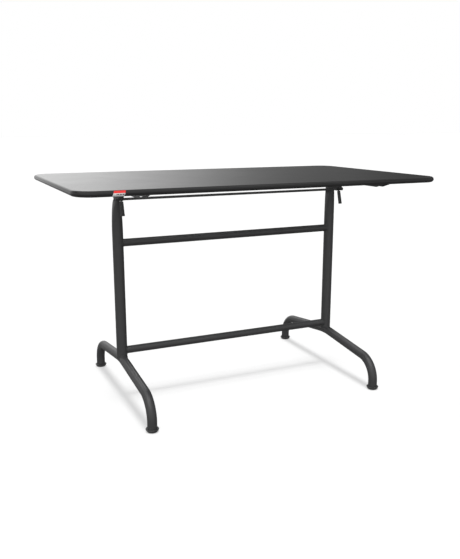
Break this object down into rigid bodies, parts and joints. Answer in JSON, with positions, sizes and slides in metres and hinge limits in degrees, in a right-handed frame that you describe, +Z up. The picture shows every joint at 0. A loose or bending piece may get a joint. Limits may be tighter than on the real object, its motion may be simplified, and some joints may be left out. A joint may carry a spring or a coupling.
{
  "type": "flip-top table",
  "caption": "Long rectangular table with thin rounded black top that tilts upright on two T-shaped tubular steel legs joined by cross rails.",
  "frame": {"origin": "on the floor, at the middle of the table's footprint", "axes": "+X along the top towards its right-hand end, +Y towards the back, away from the release levers, +Z up"},
  "size_m": [1.2, 0.7003, 0.72],
  "materials": {
    "top_laminate": "satin",
    "black_steel": "powder_coat",
    "zinc_steel": "satin",
    "spring_steel": "satin",
    "black_plastic": "satin",
    "nylon": "satin",
    "label_vinyl": "gloss"
  },
  "bodies": {
    "base": {"column_left": "black_steel", "column_right": "black_steel", "foot_tube_left": "black_steel", "foot_tube_right": "black_steel", "upper_rail": "black_steel", "lower_rail": "black_steel", "pivot_bolt_left": "zinc_steel", "pivot_nut_left": "zinc_steel", "pivot_washers_left": "nylon", "stop_pad_left": "nylon", "pivot_bolt_right": "zinc_steel", "pivot_nut_right": "zinc_steel", "pivot_washers_right": "nylon", "stop_pad_right": "nylon", "tube_insert_left_front": "black_plastic", "tube_insert_left_back": "black_plastic", "tube_insert_right_front": "black_plastic", "tube_insert_right_back": "black_plastic"},
    "top": {"tabletop": "top_laminate", "edge_label": "label_vinyl", "support_arm_left": "black_steel", "arm_screws_left": "zinc_steel", "hinge_bracket_left": "black_steel", "return_spring_left": "spring_steel", "support_arm_right": "black_steel", "arm_screws_right": "zinc_steel", "hinge_bracket_right": "black_steel", "return_spring_right": "spring_steel"},
    "release": {"release_rod": "black_steel", "rod_caps": "black_plastic", "latch_hook_left": "black_steel", "lever_grip_left": "black_plastic", "latch_hook_right": "black_steel", "lever_grip_right": "black_plastic"},
    "glide_left_front": {"glide_pad_left_front": "black_plastic", "glide_stud_left_front": "zinc_steel"},
    "glide_left_back": {"glide_pad_left_back": "black_plastic", "glide_stud_left_back": "zinc_steel"},
    "glide_right_front": {"glide_pad_right_front": "black_plastic", "glide_stud_right_front": "zinc_steel"},
    "glide_right_back": {"glide_pad_right_back": "black_plastic", "glide_stud_right_back": "zinc_steel"}
  },
  "joints": [
    {"name": "top_tilt", "type": "hinge", "parent": "base", "child": "top", "pos_m": [0, 0.006, 0.672], "axis": [-1, 0, 0], "range_deg": [0, 90]},
    {"name": "latch_release", "type": "hinge", "parent": "top", "child": "release", "pos_m": [0, -0.055, 0.6635], "axis": [-1, 0, 0], "range_deg": [0, 25], "stiffness_Nm_per_rad": 0.25, "springref_deg": -20.05, "deforming": ["return_spring_left", "return_spring_right"]},
    {"name": "level_left_front", "type": "slide", "parent": "base", "child": "glide_left_front", "axis": [0, 0, -1], "range_m": [0, 0.008]},
    {"name": "level_left_back", "type": "slide", "parent": "base", "child": "glide_left_back", "axis": [0, 0, -1], "range_m": [0, 0.008]},
    {"name": "level_right_front", "type": "slide", "parent": "base", "child": "glide_right_front", "axis": [0, 0, -1], "range_m": [0, 0.008]},
    {"name": "level_right_back", "type": "slide", "parent": "base", "child": "glide_right_back", "axis": [0, 0, -1], "range_m": [0, 0.008]}
  ]
}
